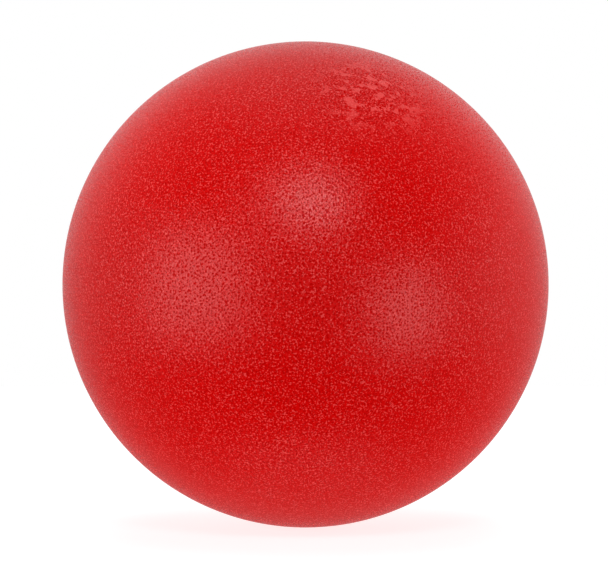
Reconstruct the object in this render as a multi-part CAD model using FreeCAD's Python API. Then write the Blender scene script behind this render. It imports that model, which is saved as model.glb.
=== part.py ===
"""Soft inflatable massage ball: a rotationally moulded vinyl skin with a moulded-in valve seat and a push-in plug.

Millimetres. The origin is the centre of the ball, +Z is up and +Y is the valve's axis, pointing out of the ball.
Everything is round about +Y. A depth is measured along that axis, from the ball's outer surface inwards.
"""

import FreeCAD
import Part
import math
import os

# The skin
BALL_DIAMETER = 230.0
SKIN_THICKNESS = 0.7
PARTING_HEIGHT = 0.12  # what is left of the trimmed flash where the mould's two halves meet
PARTING_WIDTH = 0.8
LAND_DIAMETER = 27.0  # the smooth disc round the valve, ringed by a shallow groove
LAND_GROOVE_WIDTH = 0.7
LAND_GROOVE_DEPTH = 0.15

# The skin's thick boss, which holds the valve seat
BOSS_DEPTH = 13.5
BOSS_END_DIAMETER = 18.0
BOSS_DRAFT_DEGREES = 7.0
BOSS_ROOT_FILLET = 3.5
BOSS_END_FILLET = 1.0

# The valve seat
BORE_DIAMETER = 5.0
BORE_LEAD_IN = 0.4
SLEEVE_DIAMETER = 10.4
SLEEVE_STANDS_OUT = 1.0  # of the boss's end, into the ball
FLANGE_DIAMETER = 16.0
RECESS_FLOOR_THICKNESS = 1.3
RECESS_EDGE_ROUND = 0.35
JOINT_CHAMFER = 0.15
COLLAR_DIAMETER = 14.0
COLLAR_THICKNESS = 1.4
COLLAR_DEPTH = 7.5

# The plug
HEAD_DIAMETER = 10.6
HEAD_RIM = 0.9
HEAD_CROWN = 0.45
HEAD_NAIL_CHAMFER = 0.35
RIB_COUNT = 3
RIB_PITCH = 3.0
RIB_HEIGHT = 0.35
RIB_ROUND = 0.55
FIRST_RIB_BELOW_FLOOR = 2.4
NECK_FILLET = 0.4
PLUG_DEPTH = 16.0
NOSE_LENGTH = 2.2
NOSE_DIAMETER = 3.0
CORE_DIAMETER = 1.8
CORE_START_DEPTH = 5.5

# Clearances
HEAD_SIDE_GAP = 0.3
HEAD_UNDER_GAP = 0.15
RIB_CLEARANCE = 0.05

# Worked out from the sizes above
BALL_RADIUS = BALL_DIAMETER / 2
RECESS_RADIUS = HEAD_DIAMETER / 2 + HEAD_SIDE_GAP
RECESS_DEPTH = HEAD_CROWN + HEAD_RIM + HEAD_UNDER_GAP
FLANGE_DEPTH = RECESS_DEPTH + RECESS_FLOOR_THICKNESS
SEAT_DEPTH = BOSS_DEPTH + SLEEVE_STANDS_OUT
RIB_RADIUS = BORE_DIAMETER / 2 - RIB_CLEARANCE
SHANK_RADIUS = RIB_RADIUS - RIB_HEIGHT

CENTRE = FreeCAD.Vector(0, 0, 0)
VALVE_AXIS = FreeCAD.Vector(0, 1, 0)
OUTSIDE = 10.0  # how far a cutting tool runs past the surface that it cuts
SAME_PLACE = 1e-3  # how near a measured edge lies to its worked-out place


def at_depth(depth):
    """The point on the valve's axis that lies this deep."""
    return FreeCAD.Vector(0, BALL_RADIUS - depth, 0)


def ball(radius):
    return Part.makeSphere(radius, CENTRE, VALVE_AXIS)


def rod(radius, outer_depth, inner_depth):
    return Part.makeCylinder(radius, inner_depth - outer_depth, at_depth(inner_depth), VALVE_AXIS)


def taper(outer_radius, inner_radius, outer_depth, inner_depth):
    length = inner_depth - outer_depth
    return Part.makeCone(inner_radius, outer_radius, length, at_depth(inner_depth), VALVE_AXIS)


def ring(middle_radius, wire_radius, y):
    return Part.makeTorus(middle_radius, wire_radius, FreeCAD.Vector(0, y, 0), VALVE_AXIS)


def height_on_ball(radius):
    """How far along +Y the ball's outer surface lies, this far from the valve's axis."""
    return math.sqrt(BALL_RADIUS ** 2 - radius ** 2)


def chord_wire(width, height):
    """The radius of a round wire of which a strip this wide stands this far proud of a surface."""
    return ((width / 2) ** 2 + height ** 2) / (2 * height)


def circles(solid):
    """Each circular edge of a solid, with its circle."""
    real = [edge for edge in solid.Edges if not edge.Degenerated]
    return [(edge, edge.Curve) for edge in real if isinstance(edge.Curve, Part.Circle)]


def round_edges(solid, radius, y):
    """The circular edges of a solid round the valve's axis with this radius and place along it."""
    found = []
    for edge, circle in circles(solid):
        if math.hypot(circle.Radius - radius, circle.Center.y - y) < SAME_PLACE:
            found.append(edge)
    if not found:
        raise ValueError(f"no round edge of radius {radius:.3f} at y {y:.3f}")
    return found


def seat_outline():
    """The valve seat as if it had no bore and no recess: flange, sleeve and retaining collar."""
    flange = rod(FLANGE_DIAMETER / 2, -OUTSIDE, FLANGE_DEPTH)
    sleeve = rod(SLEEVE_DIAMETER / 2, 0, SEAT_DEPTH)
    collar = rod(COLLAR_DIAMETER / 2, COLLAR_DEPTH, COLLAR_DEPTH + COLLAR_THICKNESS)
    return flange.fuse([sleeve, collar]).common(ball(BALL_RADIUS)).removeSplitter()


def ball_skin():
    """The vinyl skin in one moulding: the hollow ball, its parting line and the boss round the valve seat."""
    inner_radius = BALL_RADIUS - SKIN_THICKNESS

    parting_wire = chord_wire(PARTING_WIDTH, PARTING_HEIGHT)
    parting_line = ring(BALL_RADIUS + PARTING_HEIGHT - parting_wire, parting_wire, 0)
    hollow = ball(BALL_RADIUS).fuse(parting_line).cut(ball(inner_radius))

    boss_length = BOSS_DEPTH - SKIN_THICKNESS / 2
    boss_root_radius = BOSS_END_DIAMETER / 2 + boss_length * math.tan(math.radians(BOSS_DRAFT_DEGREES))
    boss = taper(boss_root_radius, BOSS_END_DIAMETER / 2, SKIN_THICKNESS / 2, BOSS_DEPTH)
    boss = boss.common(ball(BALL_RADIUS - SKIN_THICKNESS / 2))
    skin = hollow.fuse(boss).removeSplitter()

    skin = skin.makeFillet(BOSS_ROOT_FILLET, boss_root(skin, inner_radius))
    end = round_edges(skin, BOSS_END_DIAMETER / 2, BALL_RADIUS - BOSS_DEPTH)
    skin = skin.makeFillet(BOSS_END_FILLET, end)

    groove_wire = chord_wire(LAND_GROOVE_WIDTH, LAND_GROOVE_DEPTH)
    land_angle = math.asin(LAND_DIAMETER / 2 / BALL_RADIUS)
    groove_reach = BALL_RADIUS - LAND_GROOVE_DEPTH + groove_wire
    groove = ring(groove_reach * math.sin(land_angle), groove_wire, groove_reach * math.cos(land_angle))
    return skin.cut(groove).cut(seat_outline())


def boss_root(skin, inner_radius):
    """The circle where the boss meets the inside of the skin."""
    found = []
    for edge, circle in circles(skin):
        from_centre = math.hypot(circle.Radius, circle.Center.y)
        if circle.Center.y > 0 and abs(from_centre - inner_radius) < SAME_PLACE:
            found.append(edge)
    return found


def valve_seat():
    """The firm vinyl sleeve that is moulded into the boss, with the plug's recess and bore."""
    seat = seat_outline()
    joint = round_edges(seat, FLANGE_DIAMETER / 2, height_on_ball(FLANGE_DIAMETER / 2))
    seat = seat.makeChamfer(JOINT_CHAMFER, joint)
    seat = seat.cut(rod(RECESS_RADIUS, -OUTSIDE, RECESS_DEPTH))
    mouth = round_edges(seat, RECESS_RADIUS, height_on_ball(RECESS_RADIUS))
    seat = seat.makeFillet(RECESS_EDGE_ROUND, mouth)
    seat = seat.cut(rod(BORE_DIAMETER / 2, 0, SEAT_DEPTH + OUTSIDE))
    ends = round_edges(seat, BORE_DIAMETER / 2, BALL_RADIUS - RECESS_DEPTH)
    ends += round_edges(seat, BORE_DIAMETER / 2, BALL_RADIUS - SEAT_DEPTH)
    return seat.makeChamfer(BORE_LEAD_IN, ends)


def valve_plug():
    """The push-in plug: a domed head, a hollow shank with sealing ribs and a tapered nose."""
    rim_radius = HEAD_DIAMETER / 2
    neck_depth = HEAD_CROWN + HEAD_RIM
    dome_radius = chord_wire(HEAD_DIAMETER, HEAD_CROWN)
    dome = Part.makeSphere(dome_radius, at_depth(dome_radius), VALVE_AXIS)
    head = rod(rim_radius, -OUTSIDE, neck_depth).common(dome)
    under_edge = round_edges(head, rim_radius, BALL_RADIUS - neck_depth)
    head = head.makeChamfer(HEAD_NAIL_CHAMFER, under_edge)

    nose_depth = PLUG_DEPTH - NOSE_LENGTH
    shank = rod(SHANK_RADIUS, neck_depth, nose_depth)
    nose = taper(SHANK_RADIUS, NOSE_DIAMETER / 2, nose_depth, PLUG_DEPTH)
    body = head.fuse([shank, nose]).removeSplitter()
    neck = round_edges(body, SHANK_RADIUS, BALL_RADIUS - neck_depth)
    body = body.makeFillet(NECK_FILLET, neck)

    ribs = []
    for number in range(RIB_COUNT):
        depth = RECESS_DEPTH + FIRST_RIB_BELOW_FLOOR + number * RIB_PITCH
        ribs.append(ring(RIB_RADIUS - RIB_ROUND, RIB_ROUND, BALL_RADIUS - depth))
    core = rod(CORE_DIAMETER / 2, CORE_START_DEPTH, PLUG_DEPTH + OUTSIDE)
    return body.fuse(ribs).cut(core)


def one_solid(shape, name):
    """The single closed solid that a sub-part has to be."""
    solids = shape.removeSplitter().Solids
    if len(solids) != 1 or not solids[0].isValid():
        raise ValueError(f"{name} is {len(solids)} solids, or isn't valid")
    return solids[0]


def main():
    os.makedirs("parts", exist_ok=True)
    for make in (ball_skin, valve_seat, valve_plug):
        name = make.__name__
        solid = one_solid(make(), name)
        solid.exportStep(os.path.join("parts", name + ".step"))
        print(f"{name}: {solid.Volume / 1000:.3f} cm3, {len(solid.Faces)} faces")


main()
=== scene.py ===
"""Looks of a soft inflatable massage ball. Metres; the frame's +Y is the valve's axis, and +Z is up."""

import bmesh
import bpy
import math
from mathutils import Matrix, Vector


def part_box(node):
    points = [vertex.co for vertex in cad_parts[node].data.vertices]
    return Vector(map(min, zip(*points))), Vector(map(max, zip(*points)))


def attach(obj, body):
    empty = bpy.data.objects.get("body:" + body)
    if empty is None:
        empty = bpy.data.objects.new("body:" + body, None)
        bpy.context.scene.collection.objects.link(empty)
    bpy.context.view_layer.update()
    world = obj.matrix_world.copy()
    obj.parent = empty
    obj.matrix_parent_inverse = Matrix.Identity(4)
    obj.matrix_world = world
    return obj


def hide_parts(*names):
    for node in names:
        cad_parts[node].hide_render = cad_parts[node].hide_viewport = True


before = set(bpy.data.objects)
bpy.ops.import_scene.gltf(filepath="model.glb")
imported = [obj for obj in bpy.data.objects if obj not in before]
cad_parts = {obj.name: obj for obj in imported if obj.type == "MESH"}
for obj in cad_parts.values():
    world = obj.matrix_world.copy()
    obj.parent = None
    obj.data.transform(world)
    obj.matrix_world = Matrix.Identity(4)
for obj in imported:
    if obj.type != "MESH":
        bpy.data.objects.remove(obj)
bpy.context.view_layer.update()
MM = 0.001


# ---------------------------------------------------------------------------------------------------------
# The skin: soft PVC, 0.7 mm thick, in one rotational moulding. Outside it is satin and full of fine pores.
# A faint raised line is left where the mould's two halves met. At the valve a smooth land, ringed by a
# shallow groove, surrounds the pocket of the thick boss that holds the valve seat.
SKIN_LOW, SKIN_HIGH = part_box("ball_skin")
BALL_RADIUS = -SKIN_LOW.y
SKIN_THICKNESS = 0.7 * MM
PARTING_HEIGHT = SKIN_HIGH.z - BALL_RADIUS
PARTING_WIDTH = 0.8 * MM
PARTING_STRIPS = 4
LAND_RADIUS = 13.5 * MM
GROOVE_WIDTH = 0.7 * MM
GROOVE_DEPTH = 0.15 * MM
SEAT_LOW, SEAT_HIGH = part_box("valve_seat")
FLANGE_RADIUS = SEAT_HIGH.x
FLANGE_DEPTH = 2.8 * MM
SLEEVE_RADIUS = 5.2 * MM
COLLAR_RADIUS = 7.0 * MM
COLLAR_DEPTH = 7.5 * MM
COLLAR_THICKNESS = 1.4 * MM
BOSS_DEPTH = 13.5 * MM
BOSS_RADIUS = 9.0 * MM
BOSS_DRAFT = math.radians(7)
BOSS_ROUND = 1.0 * MM
BOSS_ROOT_ROUND = 3.5 * MM

SKIN_GRID = 96  # squares along a side of the cube that is blown up into the ball
VALVE_GRID = 32  # squares along a side of the patch that is cut out for the valve
VALVE_SIDES = 4 * VALVE_GRID
VALVE_RINGS = 10  # between that patch's square edge and the groove


def nothing_selected():
    if bpy.context.object and bpy.context.object.mode != "OBJECT":
        bpy.ops.object.mode_set(mode="OBJECT")
    bpy.ops.object.select_all(action="DESELECT")


def select(piece, kind, wanted):
    """In edit mode, selects the "verts", "edges" or "faces" that wanted() accepts, and nothing else."""
    bpy.ops.mesh.select_mode(type={"verts": "VERT", "edges": "EDGE", "faces": "FACE"}[kind])
    bpy.ops.mesh.select_all(action="DESELECT")
    mesh = bmesh.from_edit_mesh(piece.data)
    for element in getattr(mesh, kind):
        if wanted(element):
            element.select_set(True)
    mesh.select_flush_mode()
    bmesh.update_edit_mesh(piece.data)


def ball_height(radius):
    """How far along +Y the ball's outside lies, this far from the valve's axis."""
    return math.sqrt(BALL_RADIUS ** 2 - radius ** 2)


def turn_rings(start, outline):
    """Extrudes the selected ring of edges, which lies at start, through each (radius, y) of an outline."""
    radius, y = start
    for next_radius, next_y in outline:
        bpy.ops.mesh.extrude_edges_move(TRANSFORM_OT_translate={"value": (0, next_y - y, 0)})
        share = next_radius / radius
        bpy.ops.transform.resize(value=(share, 1, share), center_override=(0, next_y, 0))
        radius, y = next_radius, next_y


def arc(centre, radius, start, end, steps):
    """Points (radius, y) along an arc, with angles in degrees from the outward radial direction to +Y."""
    points = []
    for step in range(steps + 1):
        angle = math.radians(start + (end - start) * step / steps)
        points.append((centre[0] + radius * math.cos(angle), centre[1] + radius * math.sin(angle)))
    return points


def groove_outline():
    """From the groove's outer lip over its floor to its inner lip."""
    points = []
    for share in (1, 0.75, 0.4, 0, -0.4, -0.75, -1):
        radius = LAND_RADIUS + share * GROOVE_WIDTH / 2
        points.append((radius, ball_height(radius) - GROOVE_DEPTH * (1 - share ** 2)))
    return points


def pocket_outline():
    """From the land's edge down the pocket that the valve seat fills, to the boss's inner end."""
    lip = 0.15 * MM
    top = ball_height(FLANGE_RADIUS)
    points = [(FLANGE_RADIUS + lip, ball_height(FLANGE_RADIUS + lip))]
    points += [(FLANGE_RADIUS + 0.3 * lip, top - 0.3 * lip), (FLANGE_RADIUS, top - lip)]
    for radius, depth in (
        (FLANGE_RADIUS, FLANGE_DEPTH),
        (SLEEVE_RADIUS, FLANGE_DEPTH),
        (SLEEVE_RADIUS, COLLAR_DEPTH),
        (COLLAR_RADIUS, COLLAR_DEPTH),
        (COLLAR_RADIUS, COLLAR_DEPTH + COLLAR_THICKNESS),
        (SLEEVE_RADIUS, COLLAR_DEPTH + COLLAR_THICKNESS),
        (SLEEVE_RADIUS, BOSS_DEPTH),
    ):
        points.append((radius, BALL_RADIUS - depth))
    return points


def inside_outline():
    """From the boss's end along its drafted side and over the root into the ball's round inside."""
    end = BALL_RADIUS - BOSS_DEPTH
    points = arc((BOSS_RADIUS - BOSS_ROUND, end + BOSS_ROUND), BOSS_ROUND, -90, -BOSS_DRAFT, 4)
    inner = BALL_RADIUS - SKIN_THICKNESS
    root = BOSS_RADIUS + (BOSS_DEPTH - SKIN_THICKNESS) * math.tan(BOSS_DRAFT)
    centre_radius = root + BOSS_ROOT_ROUND
    centre = (centre_radius, math.sqrt((inner - BOSS_ROOT_ROUND) ** 2 - centre_radius ** 2))
    lean = math.degrees(math.atan2(centre_radius, centre[1]))
    points += arc(centre, BOSS_ROOT_ROUND, 180, 90 - lean, 8)
    steps = 60
    for step in range(1, steps):
        angle = math.radians(lean + (180 - lean) * step / steps)
        points.append((inner * math.sin(angle), inner * math.cos(angle)))
    return points


nothing_selected()
bpy.ops.mesh.primitive_cube_add(size=2 * BALL_RADIUS)
skin = bpy.context.object
skin.name = skin.data.name = "skin"
bpy.ops.object.mode_set(mode="EDIT")
bpy.ops.mesh.subdivide(number_cuts=SKIN_GRID - 1)
patch = BALL_RADIUS * VALVE_GRID / SKIN_GRID
select(skin, "faces", lambda face: face.normal.y > 0.9
       and max(abs(face.calc_center_median().x), abs(face.calc_center_median().z)) < patch)
bpy.ops.mesh.delete(type="FACE")
groove = groove_outline()
groove_start = groove[0]
bpy.ops.mesh.primitive_circle_add(vertices=VALVE_SIDES, radius=groove_start[0],
                                  location=(0, groove_start[1], 0), rotation=(math.pi / 2, 0, 0))
select(skin, "edges", lambda edge: len(edge.link_faces) < 2)
bpy.ops.mesh.bridge_edge_loops(number_cuts=VALVE_RINGS)
bpy.ops.object.mode_set(mode="OBJECT")
bpy.ops.object.modifier_add(type="CAST")
blow_up = skin.modifiers[-1]
blow_up.factor = 1
blow_up.use_radius_as_size = False
blow_up.size = BALL_RADIUS
bpy.ops.object.modifier_apply(modifier=blow_up.name)

bpy.ops.object.mode_set(mode="EDIT")
select(skin, "edges", lambda edge: len(edge.link_faces) < 2)
outline = groove[1:]
land_steps = 4
for step in range(1, land_steps):
    radius = groove[-1][0] + (FLANGE_RADIUS - groove[-1][0]) * step / land_steps
    outline.append((radius, ball_height(radius)))
turn_rings(groove_start, outline + pocket_outline() + inside_outline())
bpy.ops.mesh.extrude_edges_move()
bpy.ops.mesh.merge(type="CENTER")


def on_parting_line(vertex):
    return abs(vertex.co.y) < 1e-5 and vertex.co.length > BALL_RADIUS - 1e-5


select(skin, "edges", lambda edge: all(on_parting_line(vertex) for vertex in edge.verts))
bpy.ops.mesh.bevel(offset=PARTING_WIDTH / 2, offset_type="OFFSET", segments=PARTING_STRIPS, affect="EDGES")
for strip in range(PARTING_STRIPS // 2):
    y = strip * PARTING_WIDTH / PARTING_STRIPS
    select(skin, "verts", lambda vertex: abs(abs(vertex.co.y) - y) < 0.03 * MM
           and math.hypot(vertex.co.x, vertex.co.z) > BALL_RADIUS - 0.1 * MM)
    rise = PARTING_HEIGHT * (1 - (2 * y / PARTING_WIDTH) ** 2)
    grow = 1 + rise / BALL_RADIUS
    bpy.ops.transform.resize(value=(grow, 1, grow), center_override=(0, 0, 0))
bpy.ops.mesh.select_all(action="SELECT")
bpy.ops.mesh.normals_make_consistent(inside=False)
bpy.ops.object.mode_set(mode="OBJECT")
bpy.ops.object.shade_smooth_by_angle(angle=math.radians(40))


class Wire:
    """A socket in a node tree. Sums and products of wires and numbers add the Math nodes they need."""

    def __init__(self, nodes, socket):
        self.nodes = nodes
        self.socket = socket

    def out(self, name):
        """Another output of the same node."""
        return Wire(self.nodes, self.socket.node.outputs[name])

    def __add__(self, other):
        return self.nodes.maths("ADD", self, other)

    def __sub__(self, other):
        return self.nodes.maths("SUBTRACT", self, other)

    def __rsub__(self, other):
        return self.nodes.maths("SUBTRACT", other, self)

    def __mul__(self, other):
        return self.nodes.maths("MULTIPLY", self, other)

    __radd__ = __add__
    __rmul__ = __mul__

    def smooth_step(self, low, high):
        """0 where the wire is under low, 1 where it is over high, and smooth between them."""
        sockets = {"Value": self, "From Min": low, "From Max": high}
        return self.nodes.node("MapRange", {"interpolation_type": "SMOOTHSTEP"}, sockets)


class Nodes:
    """A node tree while it is being made."""

    def __init__(self, tree):
        self.tree = tree

    def node(self, kind, settings=None, sockets=None):
        """Adds a node, sets it up, fills its sockets with values or wires, and returns its first output."""
        node = self.tree.nodes.new("ShaderNode" + kind)
        for setting, value in (settings or {}).items():
            setattr(node, setting, value)
        for socket, value in (sockets or {}).items():
            self.fill(node.inputs[socket], value)
        return Wire(self, node.outputs[0])

    def fill(self, socket, value):
        if isinstance(value, Wire):
            self.tree.links.new(value.socket, socket)
        else:
            socket.default_value = value

    def maths(self, operation, *values):
        return self.node("Math", {"operation": operation}, dict(enumerate(values)))


class Finish(Nodes):
    """A material while its nodes are being made."""

    def __init__(self, name):
        self.material = bpy.data.materials.new(name)
        self.material.use_nodes = True
        super().__init__(self.material.node_tree)
        self.surface = self.tree.nodes["Principled BSDF"]
        self.place = self.node("TexCoord").out("Object")

    def noise(self, grain, detail):
        """Noise from 0 to 1 whose blotches are about this many metres across."""
        sockets = {"Vector": self.place, "Scale": 1 / grain, "Detail": detail}
        return self.node("TexNoise", None, sockets)

    def blend(self, share, first, second):
        """A colour that goes from the first to the second as share goes from 0 to 1."""
        mixed = self.node("Mix", {"data_type": "RGBA"}, {0: share, 6: first, 7: second})
        return Wire(self, mixed.socket.node.outputs[2])

    def show(self, shader):
        """Makes this shader the finish's surface."""
        self.fill(self.tree.nodes["Material Output"].inputs["Surface"], shader)

    def cover(self, piece, **sockets):
        """Fills the shader's sockets, with _ for each space in a name, and puts the finish on a piece."""
        for name, value in sockets.items():
            self.fill(self.surface.inputs[name.replace("_", " ")], value)
        piece.data.materials.clear()
        piece.data.materials.append(self.material)


SKIN_RED = (0.64, 0.0008, 0.0007, 1)
# The pores' red is darker than the skin's: painted shade in the pits.
PORE_RED_PAINTED_SHADE = (0.51, 0.0003, 0.0003, 1)
# A lighter, paler red: painted glints on the specks and painted sheen on the smooth patches.
PAINTED_GLINT_RED = (0.80, 0.056, 0.052, 1)
PORE_SPACING = 1.45 * MM
PORE_RADII = (0.26 * MM, 0.52 * MM)
PORE_DEPTH = 0.22 * MM
PORE_FLAT = 0.8  # the share of a pore's radius that is its flat floor
LEAST_RADIUS = 0.01 * MM  # what a closed pore's radius is, because a smooth step needs some width
GRAIN = 0.85 * MM
GRAIN_DEPTH = 0.20 * MM
SPECK = 0.80 * MM
CLOSED_CENTRE = Vector((0.257, -0.628, 0.735)) * BALL_RADIUS  # here the mould left the skin half closed
CLOSED_REACH = 34 * MM
PATCH = 4.4 * MM

vinyl = Finish("pored_red_vinyl")
place = vinyl.node("SeparateXYZ", None, {0: vinyl.place})
from_parting = vinyl.maths("ABSOLUTE", place.out("Y"))
from_axis = vinyl.maths("SQRT", place.out("X") * place.out("X") + place.out("Z") * place.out("Z"))


def along_mould_half():
    """Where a point lies on the skin: metres along it from the middle of the mould's half that made it."""
    lean = vinyl.maths("ARCTAN2", from_axis, from_parting)
    stretch = vinyl.maths("DIVIDE", lean * BALL_RADIUS, vinyl.maths("MAXIMUM", from_axis, 0.01 * MM))
    sideways = place.out("X") * stretch + vinyl.maths("SIGN", place.out("Y"))
    return vinyl.node("CombineXYZ", None, {"X": sideways, "Y": place.out("Z") * stretch})


def closed_skin():
    """How near the patches are, the patches, and all of the skin where no pore opens, each from 0 to 1."""
    from_patches = vinyl.node("VectorMath", {"operation": "DISTANCE"}, {0: vinyl.place, 1: CLOSED_CENTRE})
    near = 1 - from_patches.out("Value").smooth_step(CLOSED_REACH * 0.35, CLOSED_REACH)
    patches = near * vinyl.noise(PATCH, 3).smooth_step(0.54, 0.58)
    valve_side = place.out("Y").smooth_step(0, MM)
    land = valve_side * (1 - from_axis.smooth_step(LAND_RADIUS, LAND_RADIUS + 0.8 * MM))
    parting = 1 - from_parting.smooth_step(PARTING_WIDTH * 0.5, PARTING_WIDTH)
    from_centre = vinyl.node("VectorMath", {"operation": "LENGTH"}, {0: vinyl.place}).out("Value")
    inside = 1 - from_centre.smooth_step(BALL_RADIUS - 0.5 * MM, BALL_RADIUS - 0.3 * MM)
    smooth = vinyl.maths("MAXIMUM", land, vinyl.maths("MAXIMUM", parting, inside))
    return near, patches, vinyl.maths("MAXIMUM", patches, smooth)


near_patches, patches, closed = closed_skin()
cells = vinyl.node("TexVoronoi", {"voronoi_dimensions": "2D"},
                   {"Vector": along_mould_half(), "Scale": 1 / PORE_SPACING, "Randomness": 0.9})
chance = vinyl.node("SeparateColor", None, {"Color": cells.out("Color")})
wide_open = 1 + near_patches * 0.3
open_radius = (PORE_RADII[0] + chance * (PORE_RADII[1] - PORE_RADII[0])) * (1 - closed) * wide_open
pore_radius = open_radius + LEAST_RADIUS
pore = 1 - (cells * PORE_SPACING).smooth_step(pore_radius * PORE_FLAT, pore_radius)
grain = vinyl.noise(GRAIN, 3)
speck = vinyl.noise(SPECK, 2).smooth_step(0.55, 0.62)
# Painted glints on the specks and painted sheen on the smooth patches turn the skin's colour lighter there.
painted_glints_and_sheen = vinyl.maths("MAXIMUM", speck * 0.75, patches * 0.8)
skin_colour = vinyl.blend(painted_glints_and_sheen, SKIN_RED, PAINTED_GLINT_RED)
grain_bump = vinyl.node("Bump", None, {"Distance": GRAIN_DEPTH, "Height": grain})
pore_bump = vinyl.node("Bump", None, {"Distance": PORE_DEPTH, "Height": 1 - pore, "Normal": grain_bump})
# The pores are matte with no gloss, and their darker red is painted shade in the pits.
matte_pore_painted_shade = vinyl.node("BsdfPrincipled", None,
                        {"Base Color": PORE_RED_PAINTED_SHADE, "Roughness": 1.0, "Specular IOR Level": 0.0})
vinyl.cover(skin, Base_Color=skin_colour, Roughness=0.22 + speck * 0.20,
            Specular_IOR_Level=0.3, Normal=pore_bump)
satin_skin = Wire(vinyl, vinyl.surface.outputs[0])
vinyl.show(vinyl.node("MixShader", None, {0: pore, 1: satin_skin, 2: matte_pore_painted_shade}))

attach(skin, "ball")
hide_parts("ball_skin")

# ---------------------------------------------------------------------------------------------------------
# The valve seat: firm red PVC, injection moulded, and bonded into the boss when the skin is moulded round
# it. The plug's head sinks into its recess, and a pump nozzle or a straw goes down its bore once the plug
# is out.
SEAT_SIDES = 112
JOINT_CHAMFER = 0.15 * MM
RECESS_RADIUS = 5.6 * MM
RECESS_DEPTH = 1.5 * MM
RECESS_ROUND = 0.35 * MM
CORNER_ROUND = 0.15 * MM
BORE_RADIUS = 2.5 * MM
BORE_LEAD_IN = 0.4 * MM
SEAT_DEPTH = BALL_RADIUS - SEAT_LOW.y
SEAT_RED = (0.46, 0.0020, 0.0018, 1)
SEAT_DEEP_RED = (0.36, 0.0014, 0.0012, 1)


def deep(radius, depth):
    """The point (radius, y) this far from the valve's axis and this deep below the top of the ball."""
    return radius, BALL_RADIUS - depth


def seat_outline():
    """Once round the seat's section: flange top, recess, bore, sleeve, collar and the flange's back."""
    edge = FLANGE_RADIUS - JOINT_CHAMFER
    points = [(edge, ball_height(edge))]
    mouth = RECESS_RADIUS + RECESS_ROUND
    for step in range(1, 4):
        radius = edge + (mouth - edge) * step / 4
        points.append((radius, ball_height(radius)))
    points += arc((mouth, ball_height(mouth) - RECESS_ROUND), RECESS_ROUND, 90, 180, 6)
    corner = deep(RECESS_RADIUS - CORNER_ROUND, RECESS_DEPTH - CORNER_ROUND)
    points += arc(corner, CORNER_ROUND, 0, -90, 3)
    points += [deep(4.2 * MM, RECESS_DEPTH), deep(BORE_RADIUS + BORE_LEAD_IN, RECESS_DEPTH)]
    points += [deep(BORE_RADIUS, RECESS_DEPTH + BORE_LEAD_IN)]
    points += [deep(BORE_RADIUS, depth * MM) for depth in (5, 8, 11)]
    points += [deep(BORE_RADIUS, SEAT_DEPTH - BORE_LEAD_IN), deep(BORE_RADIUS + BORE_LEAD_IN, SEAT_DEPTH)]
    points += arc(deep(SLEEVE_RADIUS - CORNER_ROUND, SEAT_DEPTH - CORNER_ROUND), CORNER_ROUND, -90, 0, 3)
    points += [deep(SLEEVE_RADIUS, COLLAR_DEPTH + COLLAR_THICKNESS)]
    points += [deep(COLLAR_RADIUS, COLLAR_DEPTH + COLLAR_THICKNESS), deep(COLLAR_RADIUS, COLLAR_DEPTH)]
    points += [deep(SLEEVE_RADIUS, COLLAR_DEPTH), deep(SLEEVE_RADIUS, FLANGE_DEPTH)]
    points += [deep(FLANGE_RADIUS, FLANGE_DEPTH)]
    points += [(FLANGE_RADIUS, ball_height(FLANGE_RADIUS) - JOINT_CHAMFER)]
    return points


def turned(name, sides, outline, fill="NOTHING"):
    """A closed round piece about the valve's axis, whose section is the outline."""
    nothing_selected()
    radius, y = outline[0]
    bpy.ops.mesh.primitive_circle_add(vertices=sides, radius=radius, fill_type=fill,
                                      location=(0, y, 0), rotation=(math.pi / 2, 0, 0))
    piece = bpy.context.object
    piece.name = piece.data.name = name
    bpy.ops.object.transform_apply()
    bpy.ops.object.mode_set(mode="EDIT")
    select(piece, "edges", lambda edge: len(edge.link_faces) < 2)
    turn_rings(outline[0], outline[1:])
    if fill == "NOTHING":
        turn_rings(outline[-1], outline[:1])
    else:
        bpy.ops.mesh.extrude_edges_move()
        bpy.ops.mesh.merge(type="CENTER")
    bpy.ops.mesh.select_all(action="SELECT")
    bpy.ops.mesh.remove_doubles(threshold=0.004 * MM)
    bpy.ops.mesh.normals_make_consistent(inside=False)
    bpy.ops.object.mode_set(mode="OBJECT")
    bpy.ops.object.shade_smooth_by_angle(angle=math.radians(35))
    return piece


seat = turned("valve_seat_moulding", SEAT_SIDES, seat_outline())
firm_vinyl = Finish("firm_red_vinyl")
cloud = firm_vinyl.noise(2.2 * MM, 3)
skin_marks = firm_vinyl.noise(0.25 * MM, 2)
seat_bump = firm_vinyl.node("Bump", None, {"Distance": 0.012 * MM, "Height": skin_marks})
firm_vinyl.cover(seat, Base_Color=firm_vinyl.blend(cloud.smooth_step(0.3, 0.7), SEAT_DEEP_RED, SEAT_RED),
                 Roughness=0.30 + cloud * 0.12, Specular_IOR_Level=0.4, Normal=seat_bump)
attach(seat, "ball")
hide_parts("valve_seat")

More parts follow.
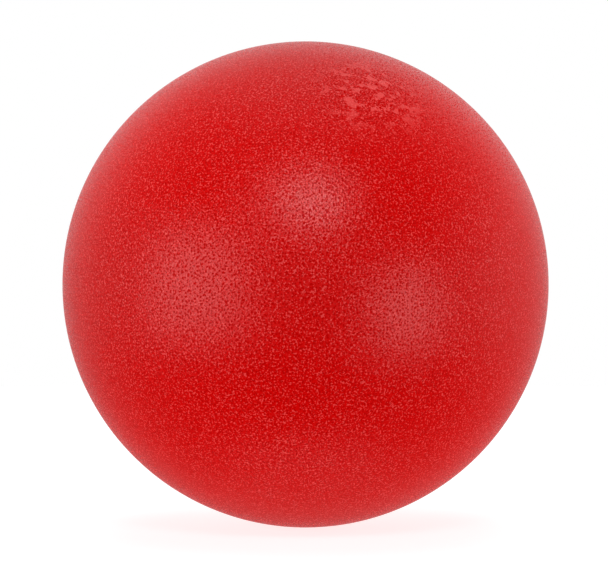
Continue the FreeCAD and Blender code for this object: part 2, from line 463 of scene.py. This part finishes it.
# ---------------------------------------------------------------------------------------------------------
# The plug: off-white soft PVC, injection moulded in one piece, with a gate mark in the middle of its head.
# It is pushed into the seat by hand. Three ribs on its hollow shank seal against the bore.
PLUG_SIDES = 112
HEAD_RADIUS = 5.3 * MM
HEAD_CROWN = 0.45 * MM
HEAD_RIM = 0.9 * MM
HEAD_EDGE_ROUND = 0.12 * MM
NAIL_CHAMFER = 0.35 * MM
GATE_RADIUS = 1.1 * MM
GATE_DEPTH = 0.12 * MM
SHANK_RADIUS = 2.1 * MM
NECK_ROUND = 0.4 * MM
RIB_DEPTHS = (3.9 * MM, 6.9 * MM, 9.9 * MM)
RIB_ROUND = 0.55 * MM
RIB_PEAK = 2.45 * MM
NOSE_START = 13.8 * MM
NOSE_RADIUS = 1.5 * MM
NOSE_ROUND = 0.2 * MM
PLUG_DEPTH = BALL_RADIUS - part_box("valve_plug")[0].y
CORE_RADIUS = 0.9 * MM
CORE_START = 5.5 * MM
PLUG_WHITE = (0.84, 0.83, 0.79, 1)
PLUG_CREAM = (0.78, 0.75, 0.68, 1)


def dome_depth(radius):
    """How deep the head's dome lies, this far from its middle."""
    dome_radius = (HEAD_RADIUS ** 2 + HEAD_CROWN ** 2) / (2 * HEAD_CROWN)
    return dome_radius - math.sqrt(dome_radius ** 2 - radius ** 2)


def plug_outline():
    """From the gate mark over the head, down the ribbed shank to the nose, and up the core."""
    points = [deep(0.4 * MM, GATE_DEPTH), deep(0.85 * GATE_RADIUS, GATE_DEPTH)]
    lip = 1.08 * GATE_RADIUS
    points += [deep(GATE_RADIUS, GATE_DEPTH * 0.5), deep(lip, dome_depth(lip))]
    edge = HEAD_RADIUS - HEAD_EDGE_ROUND
    for share in (0.35, 0.5, 0.65, 0.8, 0.92):
        points.append(deep(share * edge, dome_depth(share * edge)))
    points += arc(deep(edge, dome_depth(edge) + HEAD_EDGE_ROUND), HEAD_EDGE_ROUND, 85, 0, 4)
    neck = HEAD_CROWN + HEAD_RIM
    points += [deep(HEAD_RADIUS, neck - NAIL_CHAMFER), deep(HEAD_RADIUS - NAIL_CHAMFER, neck)]
    points += [deep(3.8 * MM, neck)]
    points += arc(deep(SHANK_RADIUS + NECK_ROUND, neck + NECK_ROUND), NECK_ROUND, 90, 180, 5)
    foot = math.degrees(math.acos((SHANK_RADIUS - RIB_PEAK + RIB_ROUND) / RIB_ROUND))
    for depth in RIB_DEPTHS:
        points += arc(deep(RIB_PEAK - RIB_ROUND, depth), RIB_ROUND, foot, -foot, 10)
    points += [deep(SHANK_RADIUS, 12 * MM), deep(SHANK_RADIUS, NOSE_START)]
    points += arc(deep(NOSE_RADIUS - NOSE_ROUND, PLUG_DEPTH - NOSE_ROUND), NOSE_ROUND, -15, -90, 4)
    points += [deep(CORE_RADIUS + 0.1 * MM, PLUG_DEPTH), deep(CORE_RADIUS, PLUG_DEPTH - 0.1 * MM)]
    points += [deep(CORE_RADIUS, 11 * MM), deep(CORE_RADIUS, CORE_START + 0.2 * MM)]
    points += [deep(0.6 * MM, CORE_START)]
    return points


plug = turned("valve_plug_moulding", PLUG_SIDES, plug_outline(), fill="TRIFAN")
soft_white = Finish("off_white_vinyl")
cloud = soft_white.noise(3.0 * MM, 3)
skin_marks = soft_white.noise(0.22 * MM, 2)
plug_bump = soft_white.node("Bump", None, {"Distance": 0.010 * MM, "Height": skin_marks})
soft_white.cover(plug, Base_Color=soft_white.blend(cloud.smooth_step(0.3, 0.7), PLUG_CREAM, PLUG_WHITE),
                 Roughness=0.32 + cloud * 0.14, Specular_IOR_Level=0.45, Normal=plug_bump)
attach(plug, "plug")
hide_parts("valve_plug")

# ---------------------------------------------------------------------------------------------------------
# The studio: a white paper floor under the ball, and a white surround that the skin mirrors as a dimmer
# one. Softboxes in front make the three soft highlights, and fills from the sides, above and below make
# the rest of the light. The camera is level with the ball's centre and sees the side without the valve.
CAMERA_DISTANCE = 1.0
BALL_SHARE_OF_WIDTH = 0.7998
SENSOR_WIDTH = 36.0
FLOOR_RADIUS = 1.4
LIGHT_DISTANCE = 2.0
FILL = 22  # degrees from a fill's middle to its edge
MIRRORED_LEAST = 0.010
MIRRORED_RISE = 0.70

ball_angle = math.asin(BALL_RADIUS / CAMERA_DISTANCE)
camera_data = bpy.data.cameras.new("camera")
camera_data.sensor_width = SENSOR_WIDTH
camera_data.lens = SENSOR_WIDTH / 2 * BALL_SHARE_OF_WIDTH / math.tan(ball_angle)
camera_data.shift_x = -0.0025
camera_data.shift_y = 0.0007
camera = bpy.data.objects.new("camera", camera_data)
camera.location = (0, -CAMERA_DISTANCE, 0)
camera.rotation_euler = (math.pi / 2, 0, 0)
bpy.context.scene.collection.objects.link(camera)
bpy.context.scene.camera = camera

nothing_selected()
bpy.ops.mesh.primitive_circle_add(vertices=96, radius=FLOOR_RADIUS, fill_type="NGON",
                                  location=(0, 0, SKIN_LOW.z))
floor = bpy.context.object
floor.name = floor.data.name = "floor"
paper = Finish("white_paper")
paper.cover(floor, Base_Color=(0.35, 0.35, 0.35, 1), Roughness=0.9,
            Emission_Color=(1, 1, 1, 1), Emission_Strength=0.8)
floor.visible_glossy = floor.visible_diffuse = floor.visible_shadow = False


def softbox(name, azimuth, elevation, half_width, half_height, radiance, mirrored=True):
    """A flat light that faces the ball. Angles are in degrees, seen from the ball; the camera is at 0."""
    width = 2 * LIGHT_DISTANCE * math.tan(math.radians(half_width))
    height = 2 * LIGHT_DISTANCE * math.tan(math.radians(half_height))
    data = bpy.data.lights.new(name, "AREA")
    data.shape = "RECTANGLE"
    data.size = width
    data.size_y = height
    data.energy = radiance * math.pi * width * height
    light = bpy.data.objects.new(name, data)
    sideways, upwards = math.radians(azimuth), math.radians(elevation)
    level = math.cos(upwards)
    back = Vector((math.sin(sideways) * level, -math.cos(sideways) * level, math.sin(upwards)))
    light.location = back * LIGHT_DISTANCE
    light.rotation_mode = "QUATERNION"
    light.rotation_quaternion = back.to_track_quat("Z", "Y")
    light.visible_glossy = mirrored
    bpy.context.scene.collection.objects.link(light)


softbox("key_light", 5, 37, 7.5, 6.2, 14.5)
softbox("key_light_edge", -12, 40, 12, 8, 1.8)
softbox("left_light", -51, 0, 22, 21, 2.7)
softbox("right_light", 47, -10, 14, 15, 3.4)
softbox("left_fill", -100, 0, FILL, FILL, 2.2, mirrored=False)
softbox("right_fill", 100, 0, FILL, FILL, 3.5, mirrored=False)
softbox("front_fill", 0, 0, FILL, FILL, 0.6, mirrored=False)
softbox("top_fill", 180, 80, FILL, FILL, 2.7, mirrored=False)
softbox("floor_fill", 180, -80, FILL, FILL, 5.0, mirrored=False)

world = bpy.data.worlds.new("studio")
bpy.context.scene.world = world
world.use_nodes = True
surround = Nodes(world.node_tree)
toward = surround.node("SeparateXYZ", None, {0: surround.node("TexCoord").out("Generated")})
behind = surround.node("MapRange", None, {"Value": toward.out("Y"), "From Min": -0.5, "From Max": 1.0})
above = surround.node("MapRange", None, {"Value": toward.out("Z"), "From Min": -0.4, "From Max": 0.4,
                                         "To Min": 0.45, "To Max": 1.25})
mirrored_light = surround.maths("POWER", behind, 1.8) * above * MIRRORED_RISE + MIRRORED_LEAST
seen = surround.node("LightPath").out("Is Camera Ray")
background = world.node_tree.nodes["Background"]
background.inputs["Color"].default_value = (1, 1, 1, 1)
strength = surround.node("Mix", None, {0: seen, 2: mirrored_light, 3: 1.0})
surround.fill(background.inputs["Strength"], strength)
bpy.context.scene.view_settings.view_transform = "Standard"
